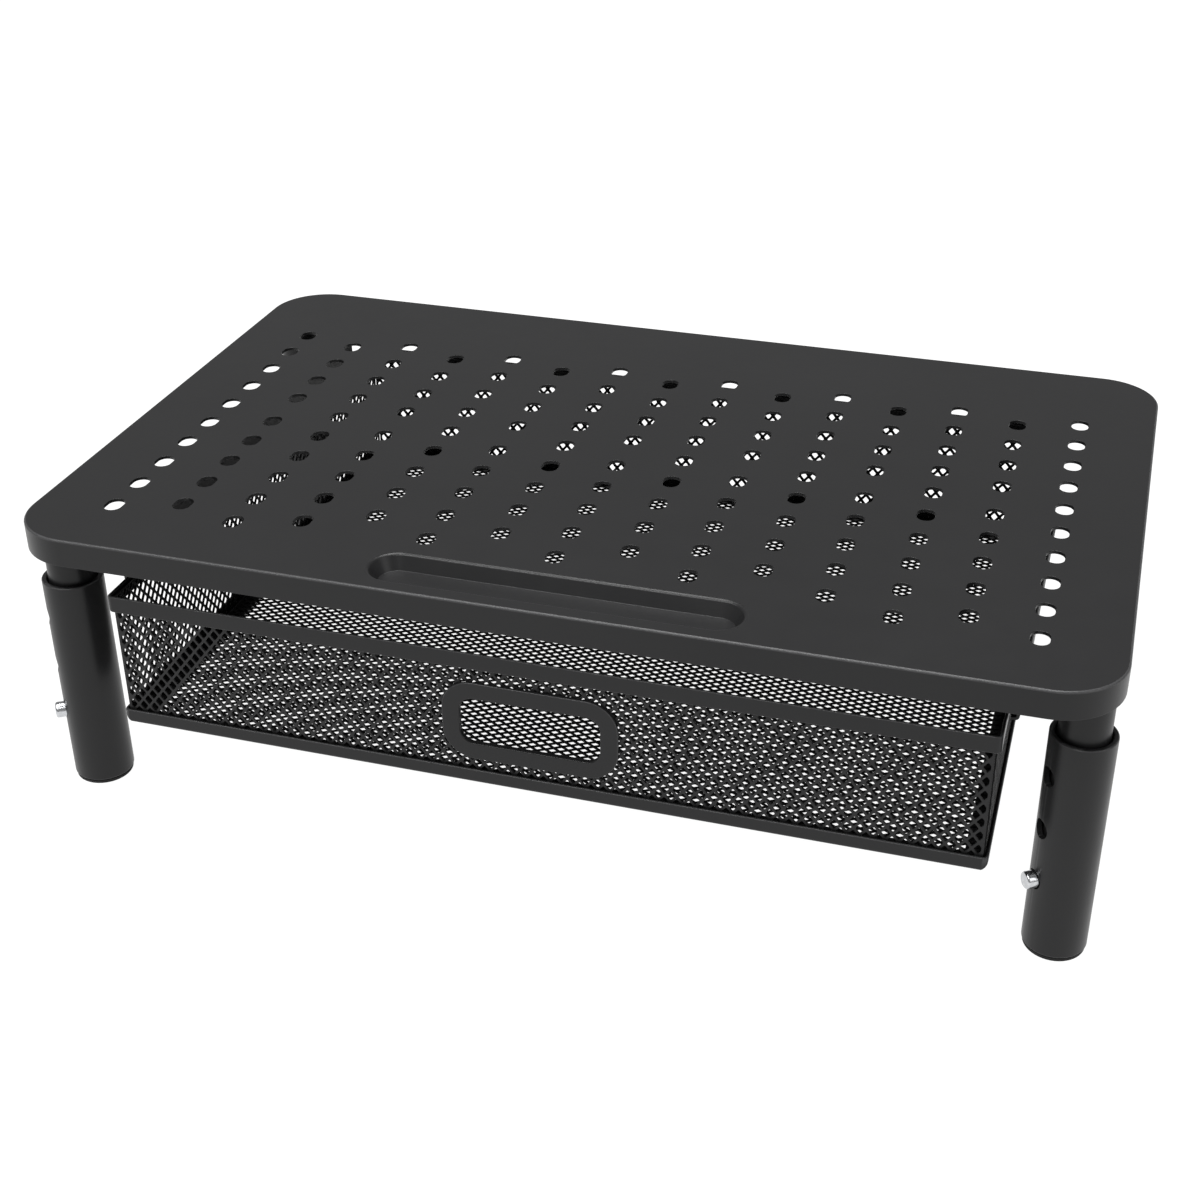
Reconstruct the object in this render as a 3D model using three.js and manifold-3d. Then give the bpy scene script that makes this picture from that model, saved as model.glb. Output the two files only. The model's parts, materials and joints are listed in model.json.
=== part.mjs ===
// Monitor riser stand: a perforated steel top on four telescopic legs, with a mesh drawer hung below it.
// Millimetres, +Z up, +X to the right and -Y to the front, with the origin under the middle of the top.

import * as THREE from 'three';
import { mergeVertices } from 'three/addons/utils/BufferGeometryUtils.js';
import Module from 'manifold-3d';

const wasm = await Module();
wasm.setup();

// ---- Driving dimensions -------------------------------------------------------------------------

const GAP = 0.3; // left between two pieces that touch
const CUT_PAST = 2; // how far a cutter runs past the wall that it cuts

const TOP_WIDTH = 370;
const TOP_DEPTH = 235;
const TOP_HEIGHT = 110; // with the legs at their lowest setting
const TOP_SHEET = 1.2;
const TOP_CORNER = 22;
const RIM_HEIGHT = 10;

const HOLE_HALF_WIDTH = 3.1;
const HOLE_HALF_LENGTH = 4.25; // front to back
const HOLE_STEPS = 2; // in each quarter of a hole's round ends
const COLUMN_PITCH = 22.5; // between neighbouring columns of holes
const COLUMN_COUNT = 15;
const ROW_PITCH = 17.6; // between the holes of one column
const BACK_ROW_Y = 69.7;
const FULL_ROWS = 10; // in an outer straight column
const ROWS_ABOVE_TRAY = 9; // in a column that ends at the pen tray
const TRAY_COLUMNS = [4, 6, 8, 10];
const STAGGERED_STARTS = [0.355, 4.6]; // where the two groups of a staggered column start, in rows
const STAGGERED_COUNTS = [4, 5];

const TRAY_LENGTH = 124;
const TRAY_WIDTH = 17;
const TRAY_DEPTH = 5;
const TRAY_X = 6;
const TRAY_Y = -102.5;

const LEG_X = 174.4;
const LEG_Y = 95.4;
const TUBE_SIDES = 24;
const OUTER_TUBE = { radius: 10.6, bore: 8.8, bottom: 1.8, top: 83.2, edge: 0.6 };
const INNER_TUBE = { radius: 8.25, bore: 7.05, bottom: 14, top: 103 };
const LOWEST_HOLE_Z = 28.4;
const HEIGHT_STEP = 20; // between two height settings
const HEIGHT_COUNT = 3;
const OUTER_HOLE_RADIUS = 3.4;
const INNER_HOLE_RADIUS = 3.25;

const BUTTON_RADIUS = 2.95;
const BUTTON_TIP = 14; // from the leg's axis
const BUTTON_CHAMFER = 0.8;
const BUTTON_TURN = THREE.MathUtils.degToRad(212); // the way the buttons point, from +X
const SPRING_STRIP = 0.6;
const SPRING_WIDTH = 5;
const SPRING_ARM = 6; // from the leg's axis to the middle of each arm's strip
const SPRING_APEX = 2.6; // radius of the bend at the top of the spring
const SPRING_BELOW = 5; // how far each arm reaches below the button's axis
const SPRING_STRAIGHT = 6; // where each arm starts to lean in, above the button's axis
const SPRING_RISE = 24; // the middle of the bend, above the button's axis

const STUD_RADIUS = 3.9;
const STUD_TOP = 107.6;
const PLUG_LENGTH = 7;
const NUT_BORE = 4.2;
const NUT_ACROSS_FLATS = 13;

const FOOT_FLANGE = { radius: 10.2, edge: 0.4 };
const FOOT_PLUG = { radius: 8.5, top: 10, edge: 0.5 };

const DRAWER_HALF_WIDTH = 151.2;
const DRAWER_FRONT = -112;
const DRAWER_BACK = 117.2;
const DRAWER_TOP = 87.2;
const DRAWER_BOTTOM = 36.1;
const DRAWER_CORNER = 2;
const SHARPEST_CORNER = 0.4; // inside radius of a bent strip
const BAND = 1; // thickness of the drawer's steel strips
const TOP_BAND_HEIGHT = 6;
const BOTTOM_BAND_HEIGHT = 5.2;
const FLOOR_LEDGE = 8; // width of the ledge that carries the floor
const MESH = 1; // thickness of the expanded metal
const MESH_TUCK = 1; // how far the mesh walls end below the drawer's top edge
const MESH_INSET = 0.5; // keeps the front and back meshes out of the frame's bent corners
const RUNNER = { inner: 151.5, outer: 153.2, bottom: 83.8, front: -93, back: 115 };

const HANDLE = { halfWidth: 30.4, halfHeight: 15, radius: 11 };
const GRIP = { halfWidth: 24.3, halfHeight: 8.8, radius: 5 };
const HANDLE_Z = 60.9;

const RAIL_SHEET = 1;
const HANGER = { front: -112, back: 97, inner: 151.1, corner: 16 };
const CHANNEL = { front: -94, back: 33, outer: 154.6, lipInner: 151.8, bottom: 82.5, top: 88.7 };
const RAIL_FLANGE_INNER = 141;

const PAINT = { color: 0x2b2b2c, roughness: 0.5, metalness: 0.3 };
const CHROME = { color: 0xd8dadd, roughness: 0.12, metalness: 1 };
const STEEL = { color: 0x9a9c9f, roughness: 0.35, metalness: 1 };
const RUBBER = { color: 0x161616, roughness: 0.85, metalness: 0 };

// ---- Solids -------------------------------------------------------------------------------------

function toSolid(geometry) {
  const bare = geometry.index ? geometry.toNonIndexed() : geometry.clone();
  bare.deleteAttribute('normal');
  bare.deleteAttribute('uv');
  const merged = mergeVertices(bare, 1e-4);
  return new wasm.Manifold(new wasm.Mesh({
    numProp: 3,
    vertProperties: new Float32Array(merged.attributes.position.array),
    triVerts: new Uint32Array(merged.index.array),
  }));
}

function toGeometry(solid) {
  const mesh = solid.getMesh();
  const geometry = new THREE.BufferGeometry();
  geometry.setAttribute('position', new THREE.BufferAttribute(mesh.vertProperties, 3));
  geometry.setIndex(new THREE.BufferAttribute(mesh.triVerts, 1));
  geometry.computeVertexNormals();
  return geometry;
}

function join(geometries) {
  const solids = geometries.map(toSolid);
  return toGeometry(solids.reduce((whole, piece) => whole.add(piece)));
}

function cut(geometry, cutters) {
  const solids = cutters.map(toSolid);
  return toGeometry(solids.reduce((whole, cutter) => whole.subtract(cutter), toSolid(geometry)));
}

function addPart(parent, name, geometry, finish) {
  const mesh = new THREE.Mesh(geometry, new THREE.MeshStandardMaterial(finish));
  mesh.name = name;
  parent.add(mesh);
  return mesh;
}

// ---- Outlines and simple shapes -----------------------------------------------------------------

function arcPoints(centreX, centreY, radius, from, to, steps) {
  return Array.from({ length: steps + 1 }, (_, step) => {
    const angle = from + (to - from) * step / steps;
    return new THREE.Vector2(centreX + radius * Math.cos(angle), centreY + radius * Math.sin(angle));
  });
}

function roundedPoints(halfWidth, halfHeight, radius, steps, centreX = 0, centreY = 0) {
  const corners = [[1, 1], [-1, 1], [-1, -1], [1, -1]];
  return corners.flatMap(([signX, signY], quarter) => arcPoints(
    centreX + signX * (halfWidth - radius),
    centreY + signY * (halfHeight - radius),
    radius,
    quarter * Math.PI / 2,
    (quarter + 1) * Math.PI / 2,
    steps,
  ));
}

function circlePoints(centreX, centreY, radius, sides) {
  return arcPoints(centreX, centreY, radius, 0, 2 * Math.PI, sides).slice(0, -1);
}

function extrude(outline, bottom, top, holes = []) {
  const shape = new THREE.Shape(outline);
  shape.holes = holes.map((hole) => new THREE.Path(hole));
  const geometry = new THREE.ExtrudeGeometry(shape, { depth: top - bottom, bevelEnabled: false });
  return geometry.translate(0, 0, bottom);
}

function box(low, high) {
  const size = high.map((value, axis) => value - low[axis]);
  const middle = high.map((value, axis) => (value + low[axis]) / 2);
  return new THREE.BoxGeometry(...size).translate(...middle);
}

// A turned piece on the Z axis, from (radius, height) pairs listed from the top down its outside.
function turned(profile, sides = TUBE_SIDES) {
  const points = profile.map(([radius, height]) => new THREE.Vector2(radius, height));
  const geometry = new THREE.LatheGeometry(points.reverse(), sides);
  return geometry.rotateX(Math.PI / 2);
}

// A prism across X whose outline is given as (y, z) pairs.
function prismAcross(outline, fromX, toX) {
  const geometry = extrude(outline.map(([y, z]) => new THREE.Vector2(y, z)), fromX, toX);
  return geometry.applyMatrix4(new THREE.Matrix4().makeBasis(
    new THREE.Vector3(0, 1, 0),
    new THREE.Vector3(0, 0, 1),
    new THREE.Vector3(1, 0, 0),
  ));
}

// A prism along Y whose outline is given as (x, z) pairs.
function prismAlong(outline, fromY, toY) {
  const geometry = extrude(outline.map(([x, z]) => new THREE.Vector2(x, -z)), fromY, toY);
  return geometry.rotateX(-Math.PI / 2);
}

// ---- The top ------------------------------------------------------------------------------------

function topHoles() {
  const holes = [];
  for (let column = 0; column < COLUMN_COUNT; column += 1) {
    const x = (column - (COLUMN_COUNT - 1) / 2) * COLUMN_PITCH;
    const straightRows = TRAY_COLUMNS.includes(column) ? ROWS_ABOVE_TRAY : FULL_ROWS;
    const straight = Array.from({ length: straightRows }, (_, row) => row);
    const staggered = STAGGERED_STARTS.flatMap(
      (start, group) => Array.from({ length: STAGGERED_COUNTS[group] }, (_, row) => start + row),
    );
    for (const row of column % 2 === 0 ? straight : staggered) {
      holes.push(roundedPoints(
        HOLE_HALF_WIDTH, HOLE_HALF_LENGTH, HOLE_HALF_WIDTH, HOLE_STEPS, x, BACK_ROW_Y - row * ROW_PITCH,
      ));
    }
  }
  return holes;
}

function trayOutline(margin) {
  const half = TRAY_WIDTH / 2 + margin;
  return roundedPoints(TRAY_LENGTH / 2 + margin, half, half, 6, TRAY_X, TRAY_Y);
}

function topPlate() {
  const outside = roundedPoints(TOP_WIDTH / 2, TOP_DEPTH / 2, TOP_CORNER, 6);
  const inside = roundedPoints(
    TOP_WIDTH / 2 - TOP_SHEET, TOP_DEPTH / 2 - TOP_SHEET, TOP_CORNER - TOP_SHEET, 6,
  );
  const underside = TOP_HEIGHT - TOP_SHEET;
  const trayFloor = TOP_HEIGHT - TRAY_DEPTH;
  const sheet = extrude(outside, underside, TOP_HEIGHT, [...topHoles(), trayOutline(0)]);
  const rim = extrude(outside, TOP_HEIGHT - RIM_HEIGHT, TOP_HEIGHT, [inside]);
  const trayWall = extrude(trayOutline(TOP_SHEET), trayFloor - TOP_SHEET, TOP_HEIGHT, [trayOutline(0)]);
  const trayBase = extrude(trayOutline(TOP_SHEET), trayFloor - TOP_SHEET, trayFloor);
  return join([sheet, rim, trayWall, trayBase]);
}

// ---- The legs, each made about its own axis -----------------------------------------------------

function outwardCylinder(radius, from, to, height, sides = 12) {
  const geometry = new THREE.CylinderGeometry(radius, radius, to - from, sides);
  geometry.rotateZ(-Math.PI / 2).translate((from + to) / 2, 0, height);
  return geometry.rotateZ(BUTTON_TURN);
}

function outerTube() {
  const { radius, bore, bottom, top, edge } = OUTER_TUBE;
  const wall = turned([
    [bore, top], [radius - edge, top], [radius, top - edge],
    [radius, bottom + edge], [radius - edge, bottom], [bore, bottom], [bore, top],
  ]);
  const holes = Array.from({ length: HEIGHT_COUNT }, (_, setting) => outwardCylinder(
    OUTER_HOLE_RADIUS, bore - CUT_PAST, radius + CUT_PAST, LOWEST_HOLE_Z + setting * HEIGHT_STEP,
  ));
  return cut(wall, holes);
}

function innerTube() {
  const { radius, bore, bottom, top } = INNER_TUBE;
  const wall = turned([[bore, top], [radius, top], [radius, bottom], [bore, bottom], [bore, top]]);
  const hole = outwardCylinder(INNER_HOLE_RADIUS, bore - CUT_PAST, radius + CUT_PAST, LOWEST_HOLE_Z);
  return cut(wall, [hole]);
}

function snapButton() {
  const inner = SPRING_ARM + SPRING_STRIP / 2 + GAP;
  const geometry = turned([
    [0, BUTTON_TIP], [BUTTON_RADIUS - BUTTON_CHAMFER, BUTTON_TIP],
    [BUTTON_RADIUS, BUTTON_TIP - BUTTON_CHAMFER], [BUTTON_RADIUS, inner], [0, inner],
  ], 16);
  geometry.rotateY(Math.PI / 2).translate(0, 0, LOWEST_HOLE_Z);
  return geometry.rotateZ(BUTTON_TURN);
}

// A flat strip bent to a V, one arm behind the button and the other against the tube's far side.
function vSpring() {
  const armBottom = LOWEST_HOLE_Z - SPRING_BELOW;
  const armTop = LOWEST_HOLE_Z + SPRING_STRAIGHT;
  const apexZ = LOWEST_HOLE_Z + SPRING_RISE;
  const half = SPRING_STRIP / 2;
  const side = (offset) => [
    new THREE.Vector2(SPRING_ARM + offset, armBottom),
    new THREE.Vector2(SPRING_ARM + offset, armTop),
    ...arcPoints(0, apexZ, SPRING_APEX + offset, 0, Math.PI, 8),
    new THREE.Vector2(-SPRING_ARM - offset, armTop),
    new THREE.Vector2(-SPRING_ARM - offset, armBottom),
  ];
  const outline = [...side(half), ...side(-half).reverse()];
  const geometry = extrude(outline, -SPRING_WIDTH / 2, SPRING_WIDTH / 2);
  return geometry.rotateX(Math.PI / 2).rotateZ(BUTTON_TURN);
}

function legStud() {
  const plugRadius = INNER_TUBE.bore - GAP;
  return turned([
    [0, STUD_TOP], [STUD_RADIUS, STUD_TOP], [STUD_RADIUS, INNER_TUBE.top],
    [plugRadius, INNER_TUBE.top], [plugRadius, INNER_TUBE.top - PLUG_LENGTH],
    [0, INNER_TUBE.top - PLUG_LENGTH],
  ], 16);
}

function weldNut() {
  const corner = NUT_ACROSS_FLATS / Math.sqrt(3);
  const bottom = INNER_TUBE.top + GAP;
  const top = TOP_HEIGHT - TOP_SHEET - GAP;
  return extrude(circlePoints(0, 0, corner, 6), bottom, top, [circlePoints(0, 0, NUT_BORE, 16)]);
}

function rubberFoot() {
  const flangeTop = OUTER_TUBE.bottom - GAP;
  return turned([
    [0, FOOT_PLUG.top], [FOOT_PLUG.radius - FOOT_PLUG.edge, FOOT_PLUG.top],
    [FOOT_PLUG.radius, FOOT_PLUG.top - FOOT_PLUG.edge], [FOOT_PLUG.radius, flangeTop],
    [FOOT_FLANGE.radius, flangeTop], [FOOT_FLANGE.radius, FOOT_FLANGE.edge],
    [FOOT_FLANGE.radius - FOOT_FLANGE.edge, 0], [0, 0],
  ]);
}

function addLeg(stand, place, signX, signY) {
  const leg = new THREE.Group();
  leg.position.set(signX * LEG_X, signY * LEG_Y, 0);
  addPart(leg, `weld_nut_${place}`, weldNut(), STEEL);
  addPart(leg, `leg_stud_${place}`, legStud(), STEEL);
  addPart(leg, `inner_tube_${place}`, innerTube(), PAINT);
  addPart(leg, `outer_tube_${place}`, outerTube(), PAINT);
  addPart(leg, `v_spring_${place}`, vSpring(), STEEL);
  addPart(leg, `snap_button_${place}`, snapButton(), CHROME);
  addPart(leg, `rubber_foot_${place}`, rubberFoot(), RUBBER);
  stand.add(leg);
}

// ---- The rails under the top --------------------------------------------------------------------

// A strip bent four times: a flange under the top, a hanger, and a channel open towards the drawer.
function drawerRail(side) {
  const across = (pairs) => pairs.map(([x, z]) => [side * x, z]);
  const ordered = (pairs) => (side > 0 ? across(pairs) : across(pairs).reverse());
  const flangeTop = TOP_HEIGHT - TOP_SHEET - GAP;
  const hangerOuter = HANGER.inner + RAIL_SHEET;
  const flange = ordered([
    [RAIL_FLANGE_INNER, flangeTop - RAIL_SHEET], [hangerOuter, flangeTop - RAIL_SHEET],
    [hangerOuter, flangeTop], [RAIL_FLANGE_INNER, flangeTop],
  ]);
  const channel = ordered([
    [CHANNEL.lipInner, CHANNEL.bottom], [CHANNEL.outer, CHANNEL.bottom],
    [CHANNEL.outer, CHANNEL.top], [HANGER.inner, CHANNEL.top],
    [HANGER.inner, CHANNEL.top - RAIL_SHEET],
    [CHANNEL.outer - RAIL_SHEET, CHANNEL.top - RAIL_SHEET],
    [CHANNEL.outer - RAIL_SHEET, CHANNEL.bottom + RAIL_SHEET],
    [CHANNEL.lipInner, CHANNEL.bottom + RAIL_SHEET],
  ]);
  const hangerBottom = CHANNEL.top - RAIL_SHEET;
  const corner = arcPoints(
    HANGER.front + HANGER.corner, hangerBottom + HANGER.corner, HANGER.corner,
    Math.PI, 3 * Math.PI / 2, 8,
  );
  const hanger = [
    ...corner.map((point) => [point.x, point.y]),
    [HANGER.back, hangerBottom], [HANGER.back, flangeTop], [HANGER.front, flangeTop],
  ];
  const hangerSides = [side * HANGER.inner, side * hangerOuter].sort((a, b) => a - b);
  return join([
    prismAlong(flange, HANGER.front, HANGER.back),
    prismAcross(hanger, ...hangerSides),
    prismAlong(channel, CHANNEL.front, CHANNEL.back),
  ]);
}

// ---- The drawer ---------------------------------------------------------------------------------

const DRAWER_MIDDLE_Y = (DRAWER_FRONT + DRAWER_BACK) / 2;
const DRAWER_HALF_DEPTH = (DRAWER_BACK - DRAWER_FRONT) / 2;
const WALL_OUTER = DRAWER_HALF_WIDTH - BAND - GAP; // outer face of the side meshes
const FRONT_MESH_OUTER = DRAWER_FRONT + BAND + GAP;
const BACK_MESH_OUTER = DRAWER_BACK - BAND - GAP;
const LEDGE_TOP = DRAWER_BOTTOM + BAND;
const MESH_BOTTOM = LEDGE_TOP + GAP; // the floor and the walls all stand on the ledge
const WALL_TOP = DRAWER_TOP - MESH_TUCK;
const CLEAR_OF_WALL = MESH + GAP;

function drawerOutline(inset) {
  return roundedPoints(
    DRAWER_HALF_WIDTH - inset, DRAWER_HALF_DEPTH - inset,
    Math.max(DRAWER_CORNER - inset, SHARPEST_CORNER), 2, 0, DRAWER_MIDDLE_Y,
  );
}

function topFrame() {
  return extrude(drawerOutline(0), DRAWER_TOP - TOP_BAND_HEIGHT, DRAWER_TOP, [drawerOutline(BAND)]);
}

function bottomFrame() {
  const band = extrude(
    drawerOutline(0), DRAWER_BOTTOM, DRAWER_BOTTOM + BOTTOM_BAND_HEIGHT, [drawerOutline(BAND)],
  );
  const ledge = extrude(drawerOutline(0), DRAWER_BOTTOM, LEDGE_TOP, [drawerOutline(FLOOR_LEDGE)]);
  return join([band, ledge]);
}

function frontMesh() {
  const outline = roundedPoints(
    WALL_OUTER - MESH_INSET, (WALL_TOP - MESH_BOTTOM) / 2, SHARPEST_CORNER, 1,
    0, (WALL_TOP + MESH_BOTTOM) / 2,
  );
  const opening = roundedPoints(GRIP.halfWidth, GRIP.halfHeight, GRIP.radius, 4, 0, HANDLE_Z);
  const sheet = extrude(outline, 0, MESH, [opening]);
  return sheet.rotateX(Math.PI / 2).translate(0, FRONT_MESH_OUTER + MESH, 0);
}

function handlePlate() {
  const outline = roundedPoints(HANDLE.halfWidth, HANDLE.halfHeight, HANDLE.radius, 6, 0, HANDLE_Z);
  const opening = roundedPoints(GRIP.halfWidth, GRIP.halfHeight, GRIP.radius, 4, 0, HANDLE_Z);
  const plate = extrude(outline, 0, BAND, [opening]);
  return plate.rotateX(Math.PI / 2).translate(0, DRAWER_FRONT + BAND, 0);
}

function sideMesh(side) {
  const faces = [side * WALL_OUTER, side * (WALL_OUTER - MESH)].sort((a, b) => a - b);
  return box(
    [faces[0], FRONT_MESH_OUTER + CLEAR_OF_WALL, MESH_BOTTOM],
    [faces[1], BACK_MESH_OUTER - CLEAR_OF_WALL, WALL_TOP],
  );
}

function drawerRunner(side) {
  const faces = [side * RUNNER.inner, side * RUNNER.outer].sort((a, b) => a - b);
  return box([faces[0], RUNNER.front, RUNNER.bottom], [faces[1], RUNNER.back, DRAWER_TOP]);
}

function addDrawer(stand) {
  const back = box(
    [MESH_INSET - WALL_OUTER, BACK_MESH_OUTER - MESH, MESH_BOTTOM],
    [WALL_OUTER - MESH_INSET, BACK_MESH_OUTER, WALL_TOP],
  );
  const floor = box(
    [CLEAR_OF_WALL - WALL_OUTER, FRONT_MESH_OUTER + CLEAR_OF_WALL, MESH_BOTTOM],
    [WALL_OUTER - CLEAR_OF_WALL, BACK_MESH_OUTER - CLEAR_OF_WALL, MESH_BOTTOM + MESH],
  );
  addPart(stand, 'drawer_top_frame', topFrame(), PAINT);
  addPart(stand, 'drawer_bottom_frame', bottomFrame(), PAINT);
  addPart(stand, 'drawer_front_mesh', frontMesh(), PAINT);
  addPart(stand, 'drawer_back_mesh', back, PAINT);
  addPart(stand, 'drawer_left_mesh', sideMesh(-1), PAINT);
  addPart(stand, 'drawer_right_mesh', sideMesh(1), PAINT);
  addPart(stand, 'drawer_floor_mesh', floor, PAINT);
  addPart(stand, 'drawer_handle_plate', handlePlate(), PAINT);
  addPart(stand, 'drawer_runner_left', drawerRunner(-1), PAINT);
  addPart(stand, 'drawer_runner_right', drawerRunner(1), PAINT);
}

// ---- The assembly -------------------------------------------------------------------------------

const stand = new THREE.Group();
addPart(stand, 'top_plate', topPlate(), PAINT);
addPart(stand, 'drawer_rail_left', drawerRail(-1), PAINT);
addPart(stand, 'drawer_rail_right', drawerRail(1), PAINT);
addLeg(stand, 'front_left', -1, -1);
addLeg(stand, 'front_right', 1, -1);
addLeg(stand, 'rear_left', -1, 1);
addLeg(stand, 'rear_right', 1, 1);
addDrawer(stand);

export default stand;
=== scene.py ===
import json
import math

import bmesh
import bpy
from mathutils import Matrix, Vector
from mathutils.geometry import delaunay_2d_cdt


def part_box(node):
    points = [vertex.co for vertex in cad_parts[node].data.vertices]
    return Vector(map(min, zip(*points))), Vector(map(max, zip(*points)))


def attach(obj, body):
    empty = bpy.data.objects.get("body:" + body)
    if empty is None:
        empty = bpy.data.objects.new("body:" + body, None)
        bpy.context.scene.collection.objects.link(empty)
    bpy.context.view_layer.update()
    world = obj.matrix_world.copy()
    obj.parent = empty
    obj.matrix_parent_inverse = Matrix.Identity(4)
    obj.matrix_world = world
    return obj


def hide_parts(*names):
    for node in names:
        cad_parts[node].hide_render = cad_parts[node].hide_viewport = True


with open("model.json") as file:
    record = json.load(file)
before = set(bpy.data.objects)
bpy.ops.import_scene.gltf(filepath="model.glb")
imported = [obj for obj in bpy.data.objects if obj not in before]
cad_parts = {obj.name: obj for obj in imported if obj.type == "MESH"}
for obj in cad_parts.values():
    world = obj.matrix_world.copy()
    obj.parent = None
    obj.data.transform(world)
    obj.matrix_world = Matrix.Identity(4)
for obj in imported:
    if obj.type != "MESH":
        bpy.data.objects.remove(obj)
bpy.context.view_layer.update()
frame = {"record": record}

# Every shape below is worked out in millimetres, in the frame's own axes, and made in metres.
MM = 0.001
WELD = 0.004  # points closer than this are one point
ROUNDING = 0.5  # a face narrower than this is part of a rounding
PLANE_STEP = 0.05  # faces this close in height lie in one plane
RISE = 1e-7  # metres that a face rises past a plane before the edge between them is an inward one
SIDES = 48  # of a turned piece
PLACES = ("front_left", "front_right", "rear_left", "rear_right")


def corners(node):
    low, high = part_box(node)
    return low / MM, high / MM


# ---- Driving sizes ------------------------------------------------------------------------------

TOP_LOW, TOP_HIGH = corners("top_plate")
TOP = TOP_HIGH.z
SHEET = 1.2  # thickness of the top's steel
TOP_CORNER = 22
CORNER_STEPS = 16  # in each corner of the top, and each quarter of the tray's round ends
TOP_FOLD = 0.8  # outside radius of the fold between the top and its rim
CUT_EDGE = 0.15  # the paint rounds every cut edge by this much

HOLE_HALF = (3.1, 4.25)  # half its width, and half its length from front to back
HOLE_STEPS = 8  # in each quarter of its round ends
COLUMN_PITCH = 22.5
COLUMN_COUNT = 15
ROW_PITCH = 17.6
BACK_ROW_Y = 69.7
FULL_ROWS = 10
ROWS_ABOVE_TRAY = 9
TRAY_COLUMNS = (4, 6, 8, 10)
STAGGERED_GROUPS = ((0.355, 4), (4.6, 5))  # first row and count of each group in a staggered column

TRAY_MOUNT = next(m for m in frame["record"]["mounts"] if m["name"] == "pen_tray_floor")
TRAY_X, TRAY_Y, TRAY_FLOOR = (value / MM for value in TRAY_MOUNT["pos_m"])
TRAY_LENGTH = 124
TRAY_WIDTH = 17
TRAY_ROLL = 1.5  # radius where the top bends into the tray
TRAY_FILLET = 0.2  # radius where the tray's wall bends into its floor
TRAY_SLOPE = 60  # degrees between the tray's wall and its floor

BUTTON_TURN = math.radians(212)  # the way the snap buttons point, from +X
TUBE_COLUMNS = 96
TUBE_END_STEPS = 4  # in each rounding of a tube's end
HOLE_CLEARANCE = 0.4  # how much wider than a hole the tube's evenly bored part is
ROUND_SIDES = 40  # of the holes in the tubes, and of the buttons
OUTER_BORE = 8.8
OUTER_EDGE = 0.5
OUTER_HOLE = 3.4
INNER_BORE = 7.05
INNER_EDGE = 0.35
INNER_HOLE = 3.25
LOWEST_HOLE_Z = 28.4
HEIGHT_STEP = 20
HEIGHT_COUNT = 3
BUTTON_RADIUS = 2.95
BUTTON_TIP = 13.85  # from the leg's axis
BUTTON_EDGE = 0.8
BUTTON_CHAMFER = 0.2
BUTTON_GAP = 0.3  # between a button and its spring
SPRING_STRIP = 0.6
SPRING_ARM = 6.0  # from the leg's axis to the middle of a spring's strip
SPRING_APEX = 2.6
SPRING_BEND = 6.0  # from the button's axis up to the spring's bend
SPRING_HALF = 2.5  # half the strip's width

RAIL_SHEET = 1.0
RAIL_BEND = 1.6  # outside radius of the rails' bends
RAIL_CORNER = 16.0  # radius of the hanger's front corner
HANGER_X = 151.1  # from the middle to a hanger's inner face
LIP_X = 151.8  # from the middle to a channel's free edge
CHANNEL_HEIGHT = 6.2
CHANNEL_NECK = 0.6  # from the channel's top up to the hanger's lower edge
CHANNEL_Y = (-94.0, 33.0)

FRAME_LOW, FRAME_HIGH = corners("drawer_bottom_frame")
FRAME_MIDDLE = (FRAME_LOW + FRAME_HIGH) / 2
FRAME_HALF = (FRAME_HIGH - FRAME_LOW) / 2
BAND_LOW, BAND_HIGH = corners("drawer_top_frame")
BAND = 1.0  # thickness of the drawer's strips
EDGE = 0.35  # how far the strips' edges are rounded
FOLD_STEPS = 6
DRAWER_CORNER = 2.0
SIDE_FOLD = 3.4  # outside radius of the lower frame's fold along the drawer's sides
END_FOLD = 1.2  # the same along its front and back
FOLD_OVERLAP = 0.05  # how far before its corner's centre the lower frame's fold turns inward
LEAST_INNER_FOLD = 0.15  # inside radius, where the outside one leaves less than this
LEDGE = 8.0
RUNNER_EDGE = 0.4

WALL_CELL = (4.16, 5.2)  # one diamond of the walls' expanded metal, across and up
FRONT_STRAND = 0.77  # width of the strands between the diamonds
BACK_STRAND = 1.0
SIDE_STRAND = 0.76
WALL_MESH = 0.6  # thickness of the walls' mesh
FLOOR_CELL = (5.2, 3.05)
FLOOR_STRAND = 0.85
FLOOR_MESH = 0.42
MESH_MARGIN = 0.8  # solid edge round each panel
BLUNT = 0.12  # share of a diamond's half-length that its corners are cut off by
SLIVER = 0.25  # an opening smaller than this share of a quarter diamond is left closed

HANDLE_HALF = (30.4, 15.0)
HANDLE_CORNER = 11.0
HANDLE_EDGE = 0.35
GRIP_HALF = (24.3, 8.8)
GRIP_CORNER = 5.0
GRIP_PATCH = 2.5  # solid metal behind the handle, past the finger opening


# ---- Outlines -----------------------------------------------------------------------------------

def arc(x, y, radius, start, end, steps):
    """Points along an arc, from one angle in degrees to another."""
    turns = [math.radians(start + (end - start) * i / steps) for i in range(steps + 1)]
    return [(x + radius * math.cos(turn), y + radius * math.sin(turn)) for turn in turns]


def rounded(half_x, half_y, radius, steps=8, x=0.0, y=0.0):
    """A rectangle with round corners, counterclockwise from its right side."""
    points = []
    for quarter, (sign_x, sign_y) in enumerate(((1, 1), (-1, 1), (-1, -1), (1, -1))):
        centre_x = x + sign_x * (half_x - radius)
        centre_y = y + sign_y * (half_y - radius)
        points += arc(centre_x, centre_y, radius, 90 * quarter, 90 * quarter + 90, steps)
    return points


def circle(x, y, radius, count):
    return arc(x, y, radius, 0, 360, count)[:-1]


def raised(outline, z):
    return [(x, y, z) for x, y in outline]


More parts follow.
